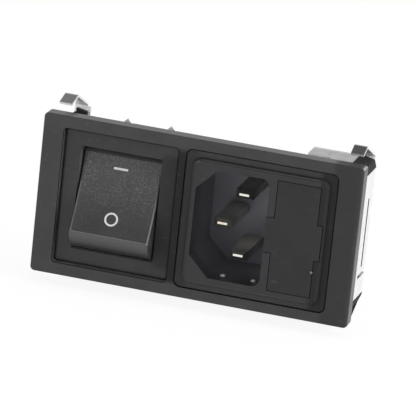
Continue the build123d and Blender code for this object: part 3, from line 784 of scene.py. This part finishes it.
SPRING_WIRE = RolledMetal("spring wire", (0.6, 0.6, 0.61), roughness=0.3, stain=(0.4, 0.4, 0.4))
FUSE_WIRE = RolledMetal("fuse wire", (0.7, 0.68, 0.64), roughness=0.35)
PIN_PLATE = PlatedPin("pin plating", (0.84, 0.82, 0.77))
PLUNGER_NYLON = NaturalNylon("plunger nylon", (0.78, 0.76, 0.7))
FUSE_GLASS = ClearGlass("fuse glass", (0.96, 0.98, 0.98))
WHITE_INK = PrintedInk("white ink", (0.52, 0.52, 0.53))


@contextmanager
def editing(piece: bpy.types.Object) -> Iterator[bmesh.types.BMesh]:
    """Edit mode on one piece.

    Args:
        piece: Mesh object that is edited.

    Returns:
        The edit mesh, inside the with block.
    """
    bpy.ops.object.select_all(action="DESELECT")
    piece.select_set(True)
    bpy.context.view_layer.objects.active = piece
    bpy.ops.object.mode_set(mode="EDIT")
    try:
        yield bmesh.from_edit_mesh(piece.data)
    finally:
        bpy.ops.object.mode_set(mode="OBJECT")


def choose_faces(piece: bpy.types.Object, mesh: bmesh.types.BMesh, test: Test) -> None:
    """Select the faces whose middle and normal pass a test.

    Args:
        piece: Object in edit mode.
        mesh: Its edit mesh.
        test: Takes a face's middle and normal, in the object's own axes.
    """
    bpy.ops.mesh.select_mode(type="FACE")
    bpy.ops.mesh.select_all(action="DESELECT")
    for face in mesh.faces:
        face.select_set(test(face.calc_center_median(), face.normal))
    bmesh.update_edit_mesh(piece.data)


def choose_edges(piece: bpy.types.Object, mesh: bmesh.types.BMesh, test: Test) -> None:
    """Select the edges whose middle and direction pass a test.

    Args:
        piece: Object in edit mode.
        mesh: Its edit mesh.
        test: Takes an edge's middle and its direction, in the object's own axes.
    """
    bpy.ops.mesh.select_mode(type="EDGE")
    bpy.ops.mesh.select_all(action="DESELECT")
    for edge in mesh.edges:
        ends = [vert.co for vert in edge.verts]
        edge.select_set(test((ends[0] + ends[1]) / 2, (ends[1] - ends[0]).normalized()))
    bmesh.update_edit_mesh(piece.data)


def fresh_block(size: Vector, place: Vector) -> bpy.types.Object:
    """Start a piece as a block.

    Args:
        size: Its sides in millimetres.
        place: Its middle in millimetres.

    Returns:
        The new object, with its size in its mesh.
    """
    bpy.ops.object.select_all(action="DESELECT")
    bpy.ops.mesh.primitive_cube_add(size=1.0, location=place * MM)
    piece = bpy.context.active_object
    piece.scale = size * MM
    bpy.ops.object.transform_apply(location=False, rotation=False, scale=True)
    return piece


def fresh_ring(radius: float, stroke: float, thick: float, sides: int = 72) -> bpy.types.Object:
    """Model a flat ring round the origin, facing up its own Z.

    Args:
        radius: Outer radius in millimetres.
        stroke: Width of the ring in millimetres.
        thick: Thickness in millimetres.
        sides: Number of sides.

    Returns:
        The new object.
    """
    bpy.ops.object.select_all(action="DESELECT")
    bpy.ops.mesh.primitive_circle_add(vertices=sides, radius=radius * MM, fill_type="NGON")
    piece = bpy.context.active_object
    with editing(piece) as mesh:
        choose_faces(piece, mesh, lambda middle, normal: True)
        bpy.ops.mesh.inset(thickness=stroke * MM)
        mesh = bmesh.from_edit_mesh(piece.data)
        choose_faces(piece, mesh, lambda middle, normal: middle.length < AT_ORIGIN)
        bpy.ops.mesh.delete(type="FACE")
        bpy.ops.mesh.select_all(action="SELECT")
        bpy.ops.mesh.extrude_region_move(TRANSFORM_OT_translate={"value": (0.0, 0.0, thick * MM)})
        bpy.ops.mesh.select_all(action="SELECT")
        bpy.ops.mesh.normals_make_consistent(inside=False)
    return piece


def bevel_all(piece: bpy.types.Object, width_mm: float, segments: int) -> None:
    """Round a piece's sharp edges with a bevel that is then applied.

    Args:
        piece: Mesh object that is rounded.
        width_mm: Width of the bevel in millimetres.
        segments: Number of its segments.
    """
    bevel = piece.modifiers.new("rounded edges", "BEVEL")
    bevel.width = width_mm * MM
    bevel.segments = segments
    bevel.limit_method = "ANGLE"
    bevel.angle_limit = BEVEL_ANGLE
    apply_modifier(piece, bevel)


def apply_modifier(piece: bpy.types.Object, modifier: bpy.types.Modifier) -> None:
    """Apply one modifier of a piece.

    Args:
        piece: Mesh object that has the modifier.
        modifier: Modifier that is applied.
    """
    bpy.ops.object.select_all(action="DESELECT")
    piece.select_set(True)
    bpy.context.view_layer.objects.active = piece
    bpy.ops.object.modifier_apply(modifier=modifier.name)


def settle(
    piece: bpy.types.Object,
    name: str,
    body: Body,
    finish: Finish,
) -> bpy.types.Object:
    """Finish a piece: place into its mesh, smooth shading, finish and body.

    Args:
        piece: The modelled object.
        name: Its name as a piece.
        body: Body that it rides on.
        finish: Finish that it gets.

    Returns:
        The same object.
    """
    bpy.ops.object.select_all(action="DESELECT")
    piece.select_set(True)
    bpy.context.view_layer.objects.active = piece
    bpy.ops.object.transform_apply(location=True, rotation=True, scale=True)
    bpy.ops.object.shade_smooth_by_angle(angle=SMOOTH_ANGLE)
    piece.name = name
    piece.data.name = name
    piece.data.materials.clear()
    piece.data.materials.append(finish.material())
    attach(piece, body.value)
    log.info("piece %s: %d faces on %s", name, len(piece.data.polygons), body.value)
    return piece


@dataclass
class SubAssembly:
    """A group of nodes that belong together, and the pieces that are added to them."""

    finishes: dict[str, Finish] = field(default_factory=dict)

    def dress(self) -> None:
        """Give each node of the group its finish."""
        for name, finish in self.finishes.items():
            node = frame["nodes"][name]
            node.data.materials.clear()
            node.data.materials.append(finish.material())
            log.info("node %s: %s", name, finish.name)

    def add_pieces(self) -> None:
        """Model the pieces that the frame leaves to this file."""

    def build(self) -> None:
        """Dress the nodes and add the pieces."""
        self.dress()
        self.add_pieces()


@dataclass
class Housing(SubAssembly):
    """Bezel and the sprung brackets that are folded round its ends."""

    finishes: dict[str, Finish] = field(
        default_factory=lambda: {
            "bezel": BEZEL_PLASTIC,
            "end_bracket_left": SPRING_SHEET,
            "end_bracket_right": SPRING_SHEET,
        }
    )


@dataclass
class RockerSwitch(SubAssembly):
    """Rocker switch: housing, rocker, contacts, and the printed marks on the rocker's face."""

    finishes: dict[str, Finish] = field(
        default_factory=lambda: {
            "switch_housing": SWITCH_PLASTIC,
            "switch_base": SWITCH_PLASTIC,
            "rocker": ROCKER_PLASTIC,
            **{
                f"{part}_{side}": finish
                for side in ("left", "right")
                for part, finish in (
                    ("plunger", PLUNGER_NYLON),
                    ("plunger_spring", SPRING_WIRE),
                    ("contact_lever", CONTACT_BRASS),
                    ("moving_contact", SILVER_ALLOY),
                    ("fixed_contact", SILVER_ALLOY),
                    ("supply_terminal", TINNED_STRIP),
                    ("load_terminal", TINNED_STRIP),
                )
            },
        }
    )
    pivot_y: float = 1.575
    tilt: float = 21.5
    face_depth: float = -5.02
    face_sag: float = 0.9
    face_chord: float = 18.3
    mark_x: float = -18.8
    on_up: float = 6.34
    on_width: float = 3.3
    on_height: float = 0.5
    on_corner: float = 0.12
    off_up: float = -5.03
    off_radius: float = 1.56
    off_stroke: float = 0.42
    ink_proud: float = 0.03
    ink_sunk: float = 0.1

    def face_frame(self, up: float) -> Matrix:
        """Axes on the hollow face at a height: X right, Y up the face, Z out of it.

        Args:
            up: Height above the pivot, along the tilted rocker, in millimetres.

        Returns:
            Matrix that places a mark that is modelled round the origin.
        """
        half = self.face_chord / 2
        radius = (half**2 + self.face_sag**2) / (2 * self.face_sag)
        depth = self.face_depth + self.face_sag - radius + sqrt(radius**2 - up**2)
        turn = radians(self.tilt)
        slope = up / radius
        inward = Vector((0.0, cos(turn), -sin(turn)))
        upward = Vector((0.0, sin(turn), cos(turn)))
        place = Vector((self.mark_x, self.pivot_y, 0.0)) + inward * depth + upward * up
        normal = (-inward - upward * slope).normalized()
        right = Vector((1.0, 0.0, 0.0))
        along = normal.cross(right)
        axes = Matrix((right, along, normal)).transposed().to_4x4()
        return Matrix.Translation(place * MM) @ axes

    def add_pieces(self) -> None:
        """The bar for on and the ring for off, set into the rocker's face."""
        thick = self.ink_proud + self.ink_sunk
        middle = Vector((0.0, 0.0, self.ink_proud - thick / 2))
        bar = fresh_block(Vector((self.on_width, self.on_height, thick)), middle)
        with editing(bar) as mesh:
            choose_edges(bar, mesh, lambda place, along: abs(along.z) > ALIGNED)
            bpy.ops.mesh.bevel(offset=self.on_corner * MM, segments=3)
        bpy.ops.object.transform_apply(location=True, rotation=False, scale=False)
        bar.matrix_world = self.face_frame(self.on_up)
        settle(bar, "rocker_mark_on", Body.ROCKER, WHITE_INK)
        ring = fresh_ring(self.off_radius, self.off_stroke, thick)
        sunk = Matrix.Translation((0.0, 0.0, -self.ink_sunk * MM))
        ring.matrix_world = self.face_frame(self.off_up) @ sunk
        settle(ring, "rocker_mark_off", Body.ROCKER, WHITE_INK)


@dataclass
class Inlet(SubAssembly):
    """Appliance inlet: its moulding, pins and clips, and the bumps that hold a plug."""

    finishes: dict[str, Finish] = field(
        default_factory=lambda: {
            "inlet_body": INLET_PLASTIC,
            "inlet_cover": INLET_PLASTIC,
            "pin_line": PIN_PLATE,
            "pin_neutral": PIN_PLATE,
            "pin_earth": PIN_PLATE,
            "fuse_clip_line": TINNED_STRIP,
            "fuse_clip_load": TINNED_STRIP,
        }
    )
    bump_places: tuple[Place, Place] = ((6.9, -0.6, -12.35), (13.9, -0.4, -12.35))
    bump_size: Place = (1.6, 1.7, 0.75)
    bump_crest: float = 0.5
    bump_round: float = 0.3
    pip_place: Place = (27.6, -4.35, -6.7)
    pip_size: Place = (0.55, 0.4, 0.55)
    pip_corner: float = 0.16
    pip_round: float = 0.1

    def add_pieces(self) -> None:
        """Two small ramps on the cavity's lower wall, and a moulded pip beside the drawer."""
        first = fresh_block(Vector(self.bump_size), Vector(self.bump_places[0]))
        with editing(first) as mesh:
            choose_faces(first, mesh, lambda middle, normal: normal.z > ALIGNED)
            bpy.ops.transform.resize(value=(self.bump_crest, self.bump_crest, 1.0))
        bevel_all(first, self.bump_round, segments=4)
        second = first.copy()
        second.data = first.data.copy()
        bpy.context.scene.collection.objects.link(second)
        second.location = Vector(self.bump_places[1]) * MM
        settle(first, "socket_bump_left", Body.MODULE, NIB_GLINT_PLASTIC)
        settle(second, "socket_bump_right", Body.MODULE, NIB_GLINT_PLASTIC)
        pip = fresh_block(Vector(self.pip_size), Vector(self.pip_place))
        with editing(pip) as mesh:
            choose_edges(pip, mesh, lambda place, along: abs(along.y) > ALIGNED)
            bpy.ops.mesh.bevel(offset=self.pip_corner * MM, segments=3)
        bevel_all(pip, self.pip_round, segments=3)
        settle(pip, "flange_pip", Body.MODULE, PIP_GLINT_PLASTIC)


@dataclass
class FuseDrawer(SubAssembly):
    """Fuse drawer with its working and its spare fuse."""

    finishes: dict[str, Finish] = field(
        default_factory=lambda: {
            "fuse_drawer": DRAWER_PLASTIC,
            **{
                f"{fuse}_{part}": finish
                for fuse in ("fuse", "spare_fuse")
                for part, finish in (
                    ("glass", FUSE_GLASS),
                    ("wire", FUSE_WIRE),
                    ("cap_top", NICKEL_CAP),
                    ("cap_bottom", NICKEL_CAP),
                )
            },
        }
    )


@dataclass(frozen=True)
class Softbox:
    """Soft square lamp that faces the module: place and side in metres, power in watts."""

    name: str
    place: Place
    side: float
    watts: float

    def hang(self) -> None:
        """Add the lamp to the scene."""
        data = bpy.data.lights.new(self.name, "AREA")
        data.shape = "SQUARE"
        data.size = self.side
        data.energy = self.watts
        lamp = bpy.data.objects.new(self.name, data)
        lamp.location = Vector(self.place)
        lamp.rotation_mode = "QUATERNION"
        lamp.rotation_quaternion = (-Vector(self.place)).to_track_quat("-Z", "Y")
        bpy.context.scene.collection.objects.link(lamp)


@dataclass
class Studio:
    """White studio: floor, soft lamps, and the camera at the photo's angle.

    Angles are in degrees and distances in metres. The camera looks along the line through the
    aimed point, and the picture is slid so that this point falls on its pixel.
    """

    azimuth: float = 14.30
    elevation: float = 17.02
    roll: float = 6.083
    distance: float = 1.0998
    focal_px: float = 4996.5
    aim_mm: Place = (0.0, -3.3, 0.0)
    aim_px: tuple[float, float] = (195.16, 220.11)
    sensor_mm: float = 36.0
    clip: tuple[float, float] = (0.05, 20.0)
    floor_side: float = 6.0
    floor_gap_mm: float = 0.2
    floor_colour: Colour = (0.9, 0.9, 0.9)
    floor_glow: float = 0.9
    fill_strength: float = 0.55
    gloss_stops: tuple[tuple[float, float], ...] = (
        (0.0, 1.0),
        (0.15, 1.0),
        (0.29, 0.98),
        (0.5, 0.4),
        (0.75, 0.12),
        (1.0, 0.08),
    )
    lamps: tuple[Softbox, ...] = (
        Softbox("right softbox", (0.9, -0.15, 0.35), 0.6, 8.2),
        Softbox("top softbox", (0.1, -0.2, 1.0), 0.8, 3.6),
        Softbox("left softbox", (-0.9, -0.6, 0.4), 0.6, 1.9),
        Softbox("rear softbox", (0.35, 1.2, 0.22), 0.36, 2.5),
        Softbox("front softbox", (-0.24, -0.34, 0.1), 0.18, 0.28),
    )

    def place_camera(self) -> None:
        """Set the camera where the photo was taken from, moved sideways for its framing."""
        turn, rise, roll = (radians(angle) for angle in (self.azimuth, self.elevation, self.roll))
        back = Vector((sin(turn) * cos(rise), -cos(turn) * cos(rise), sin(rise)))
        right = Vector((cos(turn), sin(turn), 0.0))
        up = back.cross(right)
        side = right * cos(roll) + up * sin(roll)
        top = up * cos(roll) - right * sin(roll)
        metres_per_px = self.distance / self.focal_px
        middle = PHOTO_SIDE / 2
        slide = side * (middle - self.aim_px[0]) + top * (self.aim_px[1] - middle)
        data = bpy.data.cameras.new("photo camera")
        data.sensor_width = self.sensor_mm
        data.lens = self.focal_px / PHOTO_SIDE * self.sensor_mm
        data.clip_start, data.clip_end = self.clip
        camera = bpy.data.objects.new("photo camera", data)
        axes = Matrix((side, top, back)).transposed().to_4x4()
        place = Vector(self.aim_mm) * MM + back * self.distance + slide * metres_per_px
        camera.matrix_world = Matrix.Translation(place) @ axes
        bpy.context.scene.collection.objects.link(camera)
        bpy.context.scene.camera = camera

    def rays(self, bench: Bench, *kinds: str) -> Signal:
        """One for rays of these kinds, and nought for the rest."""
        found = [bench.node("ShaderNodeLightPath", out=f"Is {kind} Ray") for kind in kinds]
        return bench.maths("MINIMUM", sum(found[1:], found[0]), 1.0)

    def lay_floor(self) -> None:
        """White floor under the module's lowest point, which keeps a faint shadow."""
        height = cad_box[0].z - self.floor_gap_mm * MM
        bpy.ops.object.select_all(action="DESELECT")
        bpy.ops.mesh.primitive_plane_add(size=self.floor_side, location=(0.0, 0.0, height))
        floor = bpy.context.active_object
        floor.name = "studio_floor"
        material = bpy.data.materials.new("studio floor")
        bench = Bench(material)
        matt = bench.node("ShaderNodeBsdfDiffuse", None, {"Color": (*self.floor_colour, 1.0)})
        glow = bench.node("ShaderNodeEmission", None, {"Color": (*WHITE, 1.0), "Strength": 1.0})
        share = self.rays(bench, "Camera", "Glossy", "Transmission") * self.floor_glow
        mixed = bench.node("ShaderNodeMixShader", None, {0: share, 1: matt, 2: glow})
        bench.node("ShaderNodeOutputMaterial", None, {"Surface": mixed})
        floor.data.materials.append(material)

    def set_world(self) -> None:
        """White surround that is dimmer as a light, and darker high up in glossy surfaces."""
        world = bpy.data.worlds.new("studio surround")
        bpy.context.scene.world = world
        bench = Bench(world)
        stops = [(place, (level,) * 3) for place, level in self.gloss_stops]
        shine = bench.node("ShaderNodeValToRGB", {"stops": stops}, {0: bench.part_of("Generated", "Z")})
        seen = self.rays(bench, "Camera", "Transmission") * (1.0 - self.fill_strength)
        mirrored = self.rays(bench, "Glossy") * (shine - self.fill_strength)
        strength = self.fill_strength + seen + mirrored
        glow = bench.node("ShaderNodeBackground", None, {"Color": (*WHITE, 1.0), "Strength": strength})
        bench.node("ShaderNodeOutputWorld", None, {"Surface": glow})

    def build(self) -> None:
        """Set the whole studio up."""
        self.place_camera()
        self.lay_floor()
        for lamp in self.lamps:
            lamp.hang()
        self.set_world()
        bpy.context.scene.view_settings.view_transform = "Standard"


def main() -> None:
    """Build the sub-assemblies and the studio in order."""
    logging.basicConfig(level=logging.INFO, format="%(name)s: %(message)s")
    Studio().build()
    for group in (Housing(), RockerSwitch(), Inlet(), FuseDrawer()):
        group.build()
        log.info("built %s", type(group).__name__)


if __name__ == "__main__":
    main()
